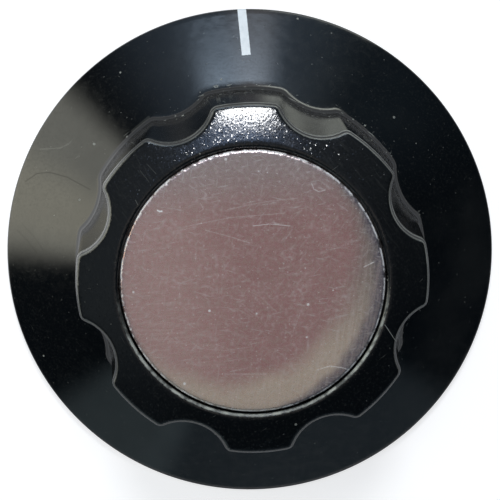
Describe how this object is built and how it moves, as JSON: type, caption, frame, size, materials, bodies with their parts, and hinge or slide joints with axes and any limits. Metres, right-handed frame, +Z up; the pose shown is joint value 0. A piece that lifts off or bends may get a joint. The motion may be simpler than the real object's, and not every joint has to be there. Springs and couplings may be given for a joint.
{
  "type": "skirted control knob",
  "caption": "Round skirted control knob with a fluted barrel, domed rim, aluminium inlay, white index line and brass shaft bushing held by a set screw.",
  "frame": {"origin": "centre of the skirt's flat underside, on the shaft's axis", "axes": "+Z up the shaft's axis out through the inlay, +Y towards the index line"},
  "size_m": [0.038, 0.0382, 0.0164],
  "materials": {
    "black_moulding": "gloss, moulded",
    "spun_aluminium": "satin, finely scratched",
    "adhesive": "clear film",
    "white_filling": "satin paint",
    "brass": "turned",
    "screw_steel": "blackened"
  },
  "bodies": {
    "root": {"knob_body": "black_moulding", "inlay_disc": "spun_aluminium", "inlay_adhesive": "adhesive", "index_line": "white_filling", "brass_bushing": "brass", "set_screw": "screw_steel"}
  },
  "joints": []
}
